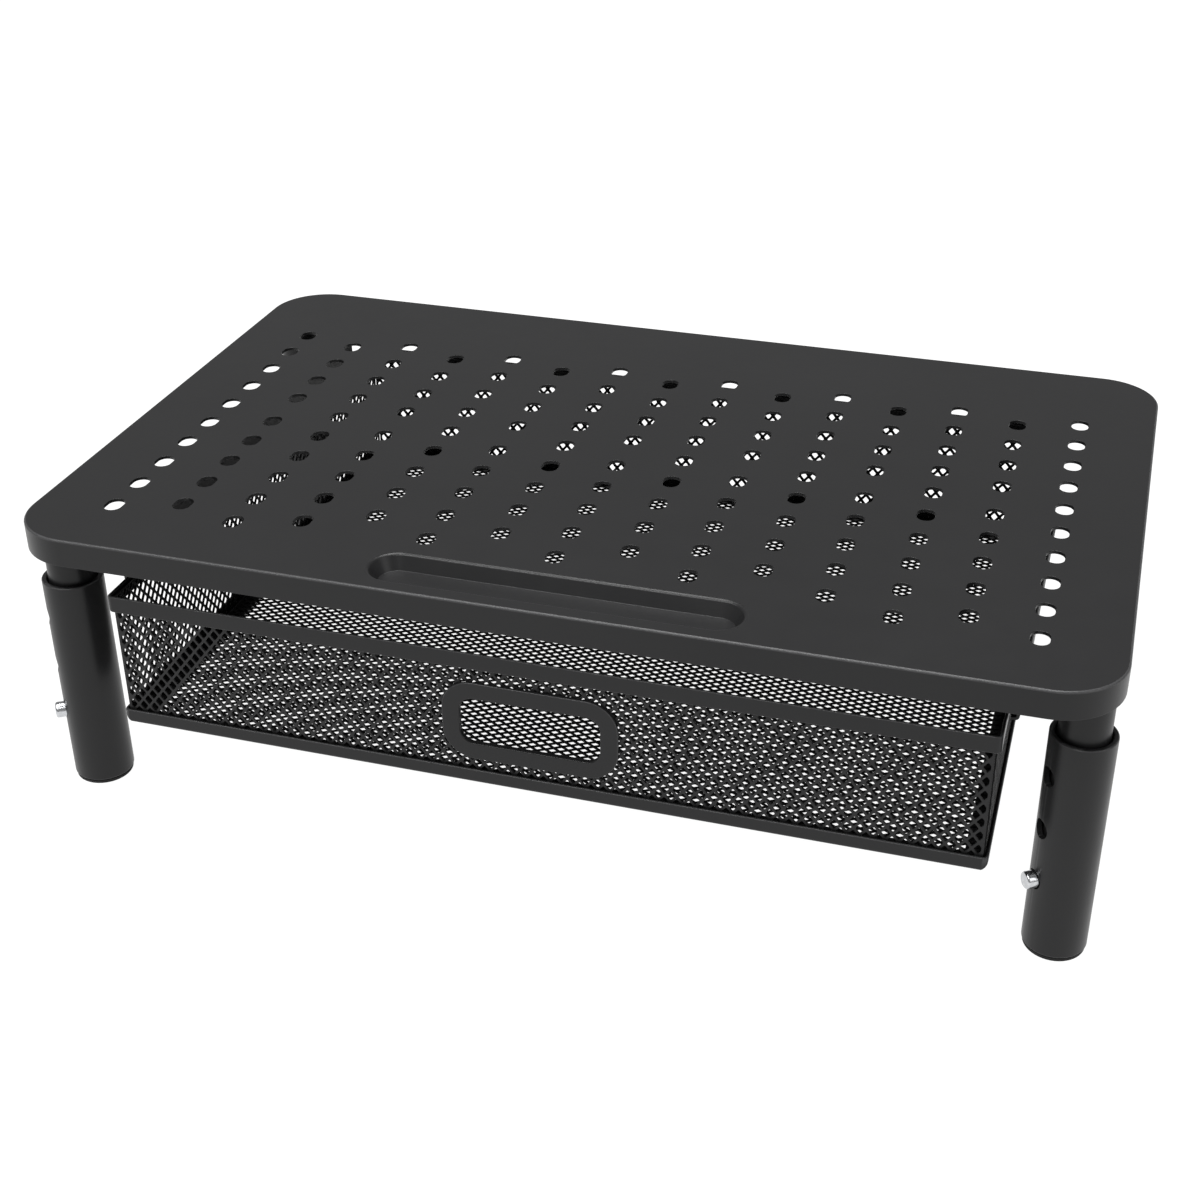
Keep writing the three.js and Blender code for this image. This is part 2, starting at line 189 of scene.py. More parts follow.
def triangulate(outline, holes=(), lines=()):
    """Points and triangles over an outline less its holes, with the given lines kept as edges."""
    points, faces, edges = [], [], []
    for loop in (outline, *holes):
        faces.append(list(range(len(points), len(points) + len(loop))))
        points += [Vector(point) for point in loop]
    for line in lines:
        edges.append((len(points), len(points) + 1))
        points += [Vector(point) for point in line]
    made = delaunay_2d_cdt(points, edges, faces, 1, 1e-6)
    inside = [face for face, owners in zip(made[2], made[5]) if list(owners) == [0]]
    return [tuple(point) for point in made[0]], inside


def border(flat):
    """The edges that only one triangle has."""
    points, triangles = flat
    seen = {}
    for face in triangles:
        for a, b in zip(face, face[1:] + face[:1]):
            seen.setdefault((min(a, b), max(a, b)), []).append((a, b))
    return [(points[a], points[b]) for ((a, b), *others) in seen.values() if not others]


# ---- Shapes and pieces --------------------------------------------------------------------------

class Shape:
    """Points in millimetres, and the faces between them, gathered for one piece."""

    def __init__(self):
        self.points = []
        self.faces = []

    def ring(self, points):
        first = len(self.points)
        self.points += [Vector(point) for point in points]
        return list(range(first, len(self.points)))

    def cap(self, points):
        self.faces.append(tuple(self.ring(points)))

    def bridge(self, one, other):
        for i, j in zip(range(len(one)), [*range(1, len(one)), 0]):
            self.faces.append((one[i], one[j], other[j], other[i]))

    def loft(self, rings, closed=False):
        """Joins each ring of points to the next, and the last to the first if closed."""
        placed = [self.ring(points) for points in rings]
        for one, other in zip(placed, placed[1:]):
            self.bridge(one, other)
        if closed:
            self.bridge(placed[-1], placed[0])

    def sheet(self, flat, place):
        points, triangles = flat
        first = len(self.points)
        self.points += [Vector(place(u, v)) for u, v in points]
        self.faces += [tuple(first + i for i in triangle) for triangle in triangles]

    def plate(self, flat, front, back, open_edge=lambda a, b: False):
        """Two sheets with a wall between them along each free edge, except where it stays open."""
        self.sheet(flat, front)
        self.sheet(flat, back)
        for a, b in border(flat):
            if not open_edge(a, b):
                self.cap([front(*a), front(*b), back(*b), back(*a)])

    def bent(self, near, far, side, run, closed_at_start):
        """A strip along Y, from (x, z) pairs on its two faces, closed at one end of its section."""
        loop = near + far[::-1]
        front, back = [self.ring([(side * x, y, z) for x, z in loop]) for y in run]
        turn, last = len(near) - 1, len(loop) - 1
        joined = [(i, i + 1) for i in range(last) if i != turn]
        joined.append((0, last) if closed_at_start else (turn, turn + 1))
        for i, j in joined:
            self.faces.append((front[i], front[j], back[j], back[i]))
        for ring in (front, back):
            for i in range(turn):
                self.faces.append((ring[i], ring[i + 1], ring[last - i - 1], ring[last - i]))

    def turned(self, profile, x, y):
        """A turned piece about a vertical axis, from (radius, height) pairs. Its ends are capped."""
        rings = [raised(circle(x, y, radius, SIDES), z) for radius, z in profile]
        self.loft(rings)
        self.cap(rings[0])
        self.cap(rings[-1])


def planes_of(mesh):
    """The plane that each face lies in, as its normal and its whole area."""
    found = {}
    planes = []
    for face in mesh.polygons:
        level = round(face.normal.dot(face.center) / (PLANE_STEP * MM))
        key = (*(round(value, 2) for value in face.normal), level)
        plane = found.setdefault(key, {"normal": face.normal.copy(), "area": 0.0})
        plane["area"] += face.area
        planes.append(plane)
    return planes


def around_points(mesh, planes):
    """The planes that meet at each point."""
    around = [{} for _ in mesh.vertices]
    for face, plane in zip(mesh.polygons, planes):
        for vertex in face.vertices:
            around[vertex][id(plane)] = plane
    return around


def width(mesh, face):
    """How wide a long face is across, in millimetres."""
    spots = [mesh.vertices[vertex].co for vertex in face.vertices]
    longest = max((a - b).length for a, b in zip(spots, spots[1:] + spots[:1]))
    return (2 if len(spots) == 3 else 1) * face.area / (longest * MM)


def mark_painted_highlight(mesh, around, highlighted):
    """Marks with 1 the middle of the outward roundings, where a highlight is painted, and the rest
    with 0.
    """
    rounding = [True] * len(mesh.vertices)
    for face in mesh.polygons:
        narrow = width(mesh, face) < ROUNDING
        for vertex in face.vertices:
            way = face.center - mesh.vertices[vertex].co
            inward = any(plane["normal"].dot(way) > RISE for plane in around[vertex].values())
            if inward or not narrow:
                rounding[vertex] = False
    painted_highlight = [
        1.0 if outward and highlighted(vertex.co / MM) else 0.0
        for outward, vertex in zip(rounding, mesh.vertices)
    ]
    mesh.attributes.new("painted_highlight", "FLOAT", "POINT").data.foreach_set("value", painted_highlight)


def even_normals(mesh, planes, around, sharp):
    """Lets the largest plane at each corner set its normal, so that only the roundings look bent."""
    limit = math.cos(math.radians(sharp))
    normals = []
    for face, plane in zip(mesh.polygons, planes):
        for vertex in face.vertices:
            total = Vector()
            for other in around[vertex].values():
                if other["normal"].dot(plane["normal"]) > limit:
                    total += other["normal"] * (other["area"] / (MM * MM)) ** 2
            normals.append(total.normalized())
    mesh.normals_split_custom_set(normals)


def piece(name, shape, material, body, nodes, sharp=40, smooth=True, highlighted=lambda point: True):
    """Makes the mesh, welds it, smooths it up to its sharp edges, and puts it on its body."""
    mesh = bpy.data.meshes.new(name)
    mesh.from_pydata([tuple(point * MM) for point in shape.points], [], shape.faces)
    work = bmesh.new()
    work.from_mesh(mesh)
    bmesh.ops.remove_doubles(work, verts=work.verts, dist=WELD * MM)
    bmesh.ops.recalc_face_normals(work, faces=work.faces)
    work.to_mesh(mesh)
    work.free()
    if smooth:
        mesh.shade_smooth()
        mesh.set_sharp_from_angle(angle=math.radians(sharp))
        planes = planes_of(mesh)
        around = around_points(mesh, planes)
        even_normals(mesh, planes, around, sharp)
        # marks the outward roundings, where the powder coat paints a lighter colour as a highlight
        mark_painted_highlight(mesh, around, highlighted)
    mesh.materials.append(material)
    made = bpy.data.objects.new(name, mesh)
    bpy.context.scene.collection.objects.link(made)
    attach(made, body)
    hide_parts(*nodes)


# ---- Materials ----------------------------------------------------------------------------------

class Finish:
    """A node material with one shader, and short ways to add what drives it."""

    def __init__(self, name, **constants):
        self.material = bpy.data.materials.new(name)
        self.material.use_nodes = True
        self.nodes = self.material.node_tree.nodes
        self.links = self.material.node_tree.links
        self.shader = self.nodes["Principled BSDF"]
        self.place = self.nodes.new("ShaderNodeTexCoord").outputs["Object"]
        for socket, value in constants.items():
            self.shader.inputs[socket.replace("_", " ")].default_value = value

    def noise(self, scale, detail=2.0, stretch=None):
        texture = self.nodes.new("ShaderNodeTexNoise")
        texture.inputs["Scale"].default_value = scale
        texture.inputs["Detail"].default_value = detail
        source = self.place
        if stretch:
            mapping = self.nodes.new("ShaderNodeMapping")
            mapping.inputs["Scale"].default_value = stretch
            self.links.new(source, mapping.inputs["Vector"])
            source = mapping.outputs["Vector"]
        self.links.new(source, texture.inputs["Vector"])
        return texture.outputs["Fac"]

    def ramp(self, value, low, high, start=0.3, end=0.7):
        """Colours or numbers from low to high as a value goes from start to end."""
        node = self.nodes.new("ShaderNodeValToRGB")
        for element, position, colour in zip(node.color_ramp.elements, (start, end), (low, high)):
            element.position = position
            element.color = (*colour, 1) if isinstance(colour, tuple) else (colour,) * 3 + (1,)
        self.links.new(value, node.inputs["Fac"])
        return node.outputs["Color"]

    def mix(self, share, one, other):
        node = self.nodes.new("ShaderNodeMix")
        node.data_type = "RGBA"
        for value, socket in ((share, "Factor"), (one, "A"), (other, "B")):
            sockets = [s for s in node.inputs if s.name == socket and s.enabled]
            self.links.new(value, sockets[0])
        return next(s for s in node.outputs if s.enabled)

    def edges(self):
        """From 0 on flat surfaces to 1 along the outward roundings, where a highlight is painted."""
        attribute = self.nodes.new("ShaderNodeAttribute")
        attribute.attribute_name = "painted_highlight"
        return self.ramp(attribute.outputs["Fac"], 0.0, 1.0, 0.0, 0.8)

    def drive(self, socket, value):
        self.links.new(value, self.shader.inputs[socket])

    def bump(self, *layers):
        """Each layer is a height, how strong it is, and how deep in metres."""
        normal = None
        for height, strength, depth in layers:
            node = self.nodes.new("ShaderNodeBump")
            node.inputs["Strength"].default_value = strength
            node.inputs["Distance"].default_value = depth
            self.links.new(height, node.inputs["Height"])
            if normal:
                self.links.new(normal, node.inputs["Normal"])
            normal = node.outputs["Normal"]
        self.drive("Normal", normal)


def powder_coat():
    """Black powder paint: fine grain, a soft sheen, and a painted highlight, a lighter colour, on
    the edges.
    """
    finish = Finish("powder_coat", Specular_IOR_Level=0.25)
    cloud = finish.noise(14, 3)
    grain = finish.noise(1500, 2)
    paint = finish.ramp(cloud, (0.0105, 0.0105, 0.0109), (0.0117, 0.0117, 0.0121))
    # a lighter colour for the outward roundings: a painted highlight along the edges
    highlight_colour = finish.ramp(grain, (0.034, 0.034, 0.035), (0.046, 0.046, 0.047))
    finish.drive("Base Color", finish.mix(finish.edges(), paint, highlight_colour))
    finish.drive("Roughness", finish.ramp(finish.noise(90, 4), 0.32, 0.37))
    finish.bump((finish.noise(420, 2), 0.06, 0.0002), (grain, 0.12, 0.0001))
    return finish.material


def mesh_coat_painted_shade():
    """The thinner, duller paint on the expanded metal, its colour darkened as painted shade inside
    the drawer.
    """
    finish = Finish("mesh_coat_painted_shade", Specular_IOR_Level=0.12)
    cloud = finish.noise(40, 3)
    # darker than the top's paint: painted shade for the drawer's inside under the top
    paint = finish.ramp(cloud, (0.0050, 0.0050, 0.0052), (0.0066, 0.0066, 0.0068))
    finish.drive("Base Color", paint)
    finish.drive("Roughness", finish.ramp(finish.noise(120, 3), 0.5, 0.6))
    finish.bump((finish.noise(1500, 2), 0.1, 0.00005))
    return finish.material


def bright_chrome():
    """The snap buttons' plating, with a faint haze along their length."""
    finish = Finish("bright_chrome", Metallic=1.0)
    plating = finish.ramp(finish.noise(600, 3), (0.50, 0.51, 0.53), (0.62, 0.63, 0.64))
    finish.drive("Base Color", plating)
    finish.drive("Roughness", finish.ramp(finish.noise(900, 4), 0.16, 0.28))
    finish.bump((finish.noise(2500, 2, (1, 1, 12)), 0.05, 0.00005))
    return finish.material


def zinc_steel():
    """The dull, spotted zinc on the studs and nuts."""
    finish = Finish("zinc_steel", Metallic=1.0)
    zinc = finish.ramp(finish.noise(350, 4), (0.42, 0.44, 0.46), (0.6, 0.61, 0.62))
    finish.drive("Base Color", zinc)
    finish.drive("Roughness", finish.ramp(finish.noise(500, 4), 0.3, 0.48))
    finish.bump((finish.noise(1400, 3), 0.12, 0.0001))
    return finish.material


def spring_steel():
    """Dark rolled steel, with its marks along the strip."""
    finish = Finish("spring_steel", Metallic=1.0)
    brushed = finish.noise(300, 4, (1, 1, 14))
    finish.drive("Base Color", finish.ramp(brushed, (0.2, 0.2, 0.21), (0.36, 0.36, 0.37)))
    finish.drive("Roughness", finish.ramp(brushed, 0.26, 0.42))
    finish.bump((brushed, 0.1, 0.00005))
    return finish.material


def foot_rubber():
    finish = Finish("foot_rubber", Specular_IOR_Level=0.35)
    rubber = finish.ramp(finish.noise(200, 4), (0.006, 0.006, 0.006), (0.012, 0.012, 0.012))
    finish.drive("Base Color", rubber)
    finish.drive("Roughness", finish.ramp(finish.noise(700, 3), 0.72, 0.9))
    finish.bump((finish.noise(2200, 3), 0.25, 0.0001))
    return finish.material


PAINT = powder_coat()
SHADED_MESH_PAINT = mesh_coat_painted_shade()
CHROME = bright_chrome()
ZINC = zinc_steel()
SPRING = spring_steel()
RUBBER = foot_rubber()


# ---- The top ------------------------------------------------------------------------------------

def top_outline(inset):
    half_x = (TOP_HIGH.x - TOP_LOW.x) / 2 - inset
    half_y = (TOP_HIGH.y - TOP_LOW.y) / 2 - inset
    return rounded(half_x, half_y, TOP_CORNER - inset, CORNER_STEPS)


def hole_outline(x, y, margin=0.0):
    half_x, half_y = (half + margin for half in HOLE_HALF)
    return rounded(half_x, half_y, half_x, HOLE_STEPS, x, y)


def hole_centres():
    centres = []
    for column in range(COLUMN_COUNT):
        x = (column - (COLUMN_COUNT - 1) / 2) * COLUMN_PITCH
        if column % 2:
            rows = [start + i for start, count in STAGGERED_GROUPS for i in range(count)]
        else:
            rows = range(ROWS_ABOVE_TRAY if column in TRAY_COLUMNS else FULL_ROWS)
        centres += [(x, BACK_ROW_Y - row * ROW_PITCH) for row in rows]
    return centres


def tray_outline(inset):
    half_y = TRAY_WIDTH / 2 - inset
    return rounded(TRAY_LENGTH / 2 - inset, half_y, half_y, CORNER_STEPS, TRAY_X, TRAY_Y)


def rim_profile():
    """(inset, height) pairs from the top's flat face over the fold, down the rim and up inside."""
    outside = arc(TOP_FOLD, TOP - TOP_FOLD, TOP_FOLD, 90, 180, 7)
    lip_out = arc(CUT_EDGE, TOP_LOW.z + CUT_EDGE, CUT_EDGE, 180, 270, 2)
    lip_in = arc(SHEET - CUT_EDGE, TOP_LOW.z + CUT_EDGE, CUT_EDGE, 270, 360, 2)
    inside = arc(TOP_FOLD, TOP - TOP_FOLD, TOP_FOLD - SHEET, 180, 90, 5)
    return outside + lip_out + lip_in + inside


def tray_foot():
    """How far inside the tray's outline its flat floor begins."""
    slope = math.radians(TRAY_SLOPE)
    bends = TRAY_ROLL + TRAY_FILLET
    drop = TOP - TRAY_FLOOR - bends * (1 - math.cos(slope))
    return bends * math.sin(slope) - TRAY_ROLL + drop / math.tan(slope)


def tray_profiles():
    """(inset, height) pairs down the tray's wall, on its upper and on its lower face."""
    foot, fillet_z = tray_foot(), TRAY_FLOOR + TRAY_FILLET
    faces = []
    for depth in (0, SHEET):
        roll = arc(-TRAY_ROLL, TOP - TRAY_ROLL, TRAY_ROLL - depth, 90, 90 - TRAY_SLOPE, 5)
        fillet = arc(foot, fillet_z, TRAY_FILLET + depth, 270 - TRAY_SLOPE, 270, 7)
        faces.append(roll + fillet)
    return faces


def top_plate():
    shape = Shape()
    shape.loft([raised(top_outline(inset), z) for inset, z in rim_profile()])
    centres = hole_centres()
    holes = [hole_outline(x, y, CUT_EDGE) for x, y in centres]
    flat = triangulate(top_outline(TOP_FOLD), [*holes, tray_outline(-TRAY_ROLL)])
    wall = arc(CUT_EDGE, TOP - CUT_EDGE, CUT_EDGE, 90, 180, 3)
    wall += arc(CUT_EDGE, TOP - SHEET + CUT_EDGE, CUT_EDGE, 180, 270, 3)
    for x, y in centres:
        shape.loft([raised(hole_outline(x, y, margin), z) for margin, z in wall])
    base = triangulate(tray_outline(tray_foot()))
    for depth, profile in zip((0, SHEET), tray_profiles()):
        shape.loft([raised(tray_outline(inset), z) for inset, z in profile])
        shape.sheet(flat, lambda x, y, z=TOP - depth: (x, y, z))
        shape.sheet(base, lambda x, y, z=TRAY_FLOOR - depth: (x, y, z))

    def on_rim(point):
        """On the top, the highlight is painted along the rim only, and not at the holes and the
        tray.
        """
        past_x = max(abs(point.x) - (TOP_HIGH.x - TOP_CORNER), 0)
        past_y = max(abs(point.y) - (TOP_HIGH.y - TOP_CORNER), 0)
        return TOP_CORNER - math.hypot(past_x, past_y) < TOP_FOLD

    piece("top_shell", shape, PAINT, "root", ["top_plate"], highlighted=on_rim)


# ---- The legs -----------------------------------------------------------------------------------

def pierced_tube(x, y, outer, bore, bottom, top, edge, hole, hole_heights):
    """A tube with round edges, and holes that run through one wall in the buttons' direction."""
    shape = Shape()
    reach = math.asin((hole + HOLE_CLEARANCE) / outer)
    inner_reach = math.asin((hole + HOLE_CLEARANCE) / bore)

    def inner_turn(turn):
        if abs(turn) <= reach:
            return math.asin(outer * math.sin(turn) / bore)
        rest = (abs(turn) - reach) / (math.pi - reach)
        return math.copysign(inner_reach + rest * (math.pi - inner_reach), turn)

    def on(radius, turn, z):
        angle = BUTTON_TURN + turn
        return (x + radius * math.cos(angle), y + radius * math.sin(angle), z)

    def outside(along, z):
        return on(outer, along / outer, z)

    def inside(along, z):
        return on(bore, inner_turn(along / outer), z)

    half = math.pi * outer
    low, high = bottom + edge, top - edge
    turns = [-math.pi + 2 * math.pi * i / TUBE_COLUMNS for i in range(TUBE_COLUMNS)]
    stops = [turn * outer for turn in turns]
    outline = [(along, low) for along in stops] + [(half, low), (half, high)]
    outline += [(along, high) for along in reversed(stops)]
    rim = [(outer * math.asin(a / outer), b) for a, b in circle(0, 0, hole, ROUND_SIDES)]
    holes = [[(along, z + b) for along, b in rim] for z in hole_heights]
    flat = triangulate(outline, holes, [((along, low), (along, high)) for along in stops[1:]])

    def open_edge(a, b):
        level = abs(a[1] - b[1]) < WELD and (abs(a[1] - low) < WELD or abs(a[1] - high) < WELD)
        seam = abs(a[0] - b[0]) < WELD and abs(abs(a[0]) - half) < WELD
        return level or seam

    shape.plate(flat, outside, inside, open_edge)
    for level, quarter in ((high, 90), (low, -90)):
        over = arc(outer - edge, level, edge, 0, quarter, TUBE_END_STEPS)
        back = arc(bore + edge, level, edge, quarter, 2 * quarter, TUBE_END_STEPS)
        rings = [[on(radius, turn, z) for turn in turns] for radius, z in over]
        rings += [[on(radius, inner_turn(turn), z) for turn in turns] for radius, z in back]
        shape.loft(rings)
    return shape


def leg_tubes(place):
    for name, body, bore, edge, hole, count in (
        ("outer_tube", f"leg_{place}", OUTER_BORE, OUTER_EDGE, OUTER_HOLE, HEIGHT_COUNT),
        ("inner_tube", "root", INNER_BORE, INNER_EDGE, INNER_HOLE, 1),
    ):
        node = f"{name}_{place}"
        low, high = corners(node)
        heights = [LOWEST_HOLE_Z + HEIGHT_STEP * i for i in range(count)]
        middle = (low + high) / 2
        shape = pierced_tube(
            middle.x, middle.y, (high.x - low.x) / 2, bore, low.z, high.z, edge, hole, heights,
        )
        piece(f"{node}_shell", shape, PAINT, body, [node])


def leg_axis(place):
    low, high = corners(f"outer_tube_{place}")
    return (low.x + high.x) / 2, (low.y + high.y) / 2


def outwards(x, y, along, across, height):
    """A point given along the buttons' direction from the leg's axis, across it, and up."""
    cosine, sine = math.cos(BUTTON_TURN), math.sin(BUTTON_TURN)
    return (x + along * cosine - across * sine, y + along * sine + across * cosine, height)


def snap_button(place):
    x, y = leg_axis(place)
    start = SPRING_ARM + SPRING_STRIP / 2 + BUTTON_GAP
    profile = [(BUTTON_RADIUS - BUTTON_CHAMFER, start), (BUTTON_RADIUS, start + BUTTON_CHAMFER)]
    profile += arc(BUTTON_RADIUS - BUTTON_EDGE, BUTTON_TIP - BUTTON_EDGE, BUTTON_EDGE, 0, 90, 6)
    rings = []
    for radius, along in profile:
        outline = circle(0, 0, radius, ROUND_SIDES)
        rings.append([outwards(x, y, along, a, LOWEST_HOLE_Z + b) for a, b in outline])
    shape = Shape()
    shape.loft(rings)
    shape.cap(rings[0])
    shape.cap(rings[-1])
    node = f"snap_button_{place}"
    piece(f"{node}_pin", shape, CHROME, f"button_{place}", [node])


def v_spring(place):
    x, y = leg_axis(place)
    low, high = corners(f"v_spring_{place}")
    half = SPRING_STRIP / 2
    apex_z = high.z - SPRING_APEX - half
    bend_z = LOWEST_HOLE_Z + SPRING_BEND

    def side(offset):
        return [
            (SPRING_ARM + offset, low.z), (SPRING_ARM + offset, bend_z),
            *arc(0, apex_z, SPRING_APEX + offset, 0, 180, 16),
            (-SPRING_ARM - offset, bend_z), (-SPRING_ARM - offset, low.z),
        ]

    flat = triangulate(side(half) + side(-half)[::-1])
    shape = Shape()
    shape.plate(
        flat,
        lambda along, z: outwards(x, y, along, SPRING_HALF, z),
        lambda along, z: outwards(x, y, along, -SPRING_HALF, z),
    )
    node = f"v_spring_{place}"
    piece(f"{node}_strip", shape, SPRING, "root", [node])


def rubber_foot(place):
    x, y = leg_axis(place)
    node = f"rubber_foot_{place}"
    low, high = corners(node)
    flange = (high.x - low.x) / 2
    bottom_edge, top_edge, end_edge = 0.6, 0.3, 0.5
    flange_top = 1.5
    core, rib, rib_pitch = 8.1, 8.5, 2.6
    profile = [(0.4 * flange, 0.5), (0.45 * flange, 0.0)]  # the hollow in the sole
    profile += arc(flange - bottom_edge, bottom_edge, bottom_edge, 270, 360, 5)
    profile += arc(flange - top_edge, flange_top - top_edge, top_edge, 0, 90, 3)
    for z in (rib_pitch * i for i in range(3)):
        profile += [(core, z + 1.6), (core, z + 2.9), (rib, z + 3.3), (rib, z + 3.9)]
    profile += arc(core - 0.4, high.z - end_edge, end_edge, 0, 90, 3)
    shape = Shape()
    shape.turned(profile, x, y)
    piece(f"{node}_plug", shape, RUBBER, f"leg_{place}", [node])


def leg_stud(place):
    x, y = leg_axis(place)
    node = f"leg_stud_{place}"
    low, high = corners(node)
    plug = (high.x - low.x) / 2
    shoulder = corners(f"inner_tube_{place}")[1].z
    root, crest, pitch = 3.4, 3.9, 1.15
    chamfer, end = 0.4, 3.2
    profile = [(plug - chamfer, low.z), (plug, low.z + chamfer), (plug, shoulder), (root, shoulder)]
    for turn in range(int((high.z - shoulder) / pitch)):
        profile.append((root, shoulder + pitch * (turn + 0.1)))
        profile.append((crest, shoulder + pitch * (turn + 0.55)))
    profile += [(root, high.z - 0.15), (end, high.z)]
    shape = Shape()
    shape.turned(profile, x, y)
    piece(f"{node}_thread", shape, ZINC, "root", [node])


def weld_nut(place):
    x, y = leg_axis(place)
    node = f"weld_nut_{place}"
    low, high = corners(node)
    across_flats, bore, edge = 13, 4.2, 0.5
    corner = across_flats / math.sqrt(3)
    rings = []
    for radius, z, hexagonal in (
        (bore + edge, low.z, False), (corner - edge, low.z, True), (corner, low.z + edge, True),
        (corner, high.z - edge, True), (corner - edge, high.z, True), (bore + edge, high.z, False),
        (bore, high.z - edge, False), (bore, low.z + edge, False),
    ):
        ring = []
        for a, b in circle(0, 0, 1, SIDES):
            turn = math.degrees(math.atan2(b, a)) % 60 - 30
            flat = math.cos(math.radians(30)) / math.cos(math.radians(turn)) if hexagonal else 1
            ring.append((x + a * radius * flat, y + b * radius * flat, z))
        rings.append(ring)
    shape = Shape()
    shape.loft(rings, closed=True)
    piece(f"{node}_hex", shape, ZINC, "root", [node], sharp=25)


# ---- The rails ----------------------------------------------------------------------------------

def rail_flange(shape, side, low, high):
    """The part that is welded under the top, with the bend down to the hanger."""
    start = min(abs(low.x), abs(high.x))
    bend_x, bend_z = HANGER_X + RAIL_SHEET - RAIL_BEND, high.z - RAIL_BEND
    sections = [
        [(start, high.z - depth)] + arc(bend_x, bend_z, RAIL_BEND - depth, 90, 0, 6)
        for depth in (0, RAIL_SHEET)
    ]
    shape.bent(*sections, side, (low.y, high.y), True)


def rail_hanger(shape, side, low, high):
    """The upright part, with its front corner rounded. It is open to the flange and channel."""
    bottom, top = low.z + CHANNEL_HEIGHT + CHANNEL_NECK, high.z - RAIL_BEND
    front, back = CHANNEL_Y
    outline = arc(low.y + RAIL_CORNER, bottom + RAIL_CORNER, RAIL_CORNER, 180, 270, 12)
    outline += [(front, bottom), (back, bottom), (high.y, bottom), (high.y, top), (low.y, top)]

    def open_edge(a, b):
        flange = all(abs(z - top) < WELD for y, z in (a, b))
        channel = all(
            abs(z - bottom) < WELD and front - WELD < y < back + WELD for y, z in (a, b)
        )
        return flange or channel

    shape.plate(
        triangulate(outline),
        lambda y, z: (side * HANGER_X, y, z),
        lambda y, z: (side * (HANGER_X + RAIL_SHEET), y, z),
        open_edge,
    )


def rail_channel(shape, side, low, high):
    """The part that holds the drawer's runner, from the hanger out, down and back to its lip."""
    top = low.z + CHANNEL_HEIGHT
    bend_x = max(abs(low.x), abs(high.x)) - RAIL_BEND
    sections = []
    for x, depth in ((HANGER_X + RAIL_SHEET, 0), (HANGER_X, RAIL_SHEET)):
        section = [(x, top + CHANNEL_NECK), (x, top - depth)]
        section += arc(bend_x, top - RAIL_BEND, RAIL_BEND - depth, 90, 0, 5)
        section += arc(bend_x, low.z + RAIL_BEND, RAIL_BEND - depth, 0, -90, 5)
        sections.append([*section, (LIP_X, low.z + depth)])
    shape.bent(*sections, side, CHANNEL_Y, False)


def drawer_rail(side_name, side):
    """A bent strip of steel under the top: flange, hanger and channel."""
    node = f"drawer_rail_{side_name}"
    low, high = corners(node)
    shape = Shape()
    rail_flange(shape, side, low, high)
    rail_hanger(shape, side, low, high)
    rail_channel(shape, side, low, high)
    piece(f"{node}_strip", shape, PAINT, "root", [node], sharp=50)


# ---- The drawer ---------------------------------------------------------------------------------

def drawer_path():
    """Points round the drawer, each with its way inward and its share: 0 on a side, 1 on an end."""
    path = []
    for quarter, (sign_x, sign_y) in enumerate(((1, 1), (-1, 1), (-1, -1), (1, -1))):
        corner = Vector((
            FRAME_MIDDLE.x + sign_x * (FRAME_HALF.x - DRAWER_CORNER),
            FRAME_MIDDLE.y + sign_y * (FRAME_HALF.y - DRAWER_CORNER),
        ))
        for i in range(FOLD_STEPS + 1):
            turn = math.radians(90 * (quarter + i / FOLD_STEPS))
            out = Vector((math.cos(turn), math.sin(turn)))
            share = i / FOLD_STEPS if quarter % 2 == 0 else 1 - i / FOLD_STEPS
            path.append((corner + out * DRAWER_CORNER, -out, share))
    return path


def band_section(low, high):
    """(inset, height) pairs round a strip with round edges, from its outer foot."""
    near, far = EDGE, BAND - EDGE
    return (
        arc(near, low + EDGE, EDGE, 270, 180, 3) + arc(near, high - EDGE, EDGE, 180, 90, 3)
        + arc(far, high - EDGE, EDGE, 90, 0, 3) + arc(far, low + EDGE, EDGE, 0, -90, 3)
    )


def top_frame():
    """The folded strip round the drawer's top edge."""
    rings = []
    for inset, z in band_section(BAND_LOW.z, BAND_HIGH.z):
        spots = [point + inwards * inset for point, inwards, _ in drawer_path()]
        rings.append([(spot.x, spot.y, z) for spot in spots])
    shape = Shape()
    shape.loft(rings, closed=True)
    piece("drawer_top_band", shape, PAINT, "drawer", ["drawer_top_frame"])


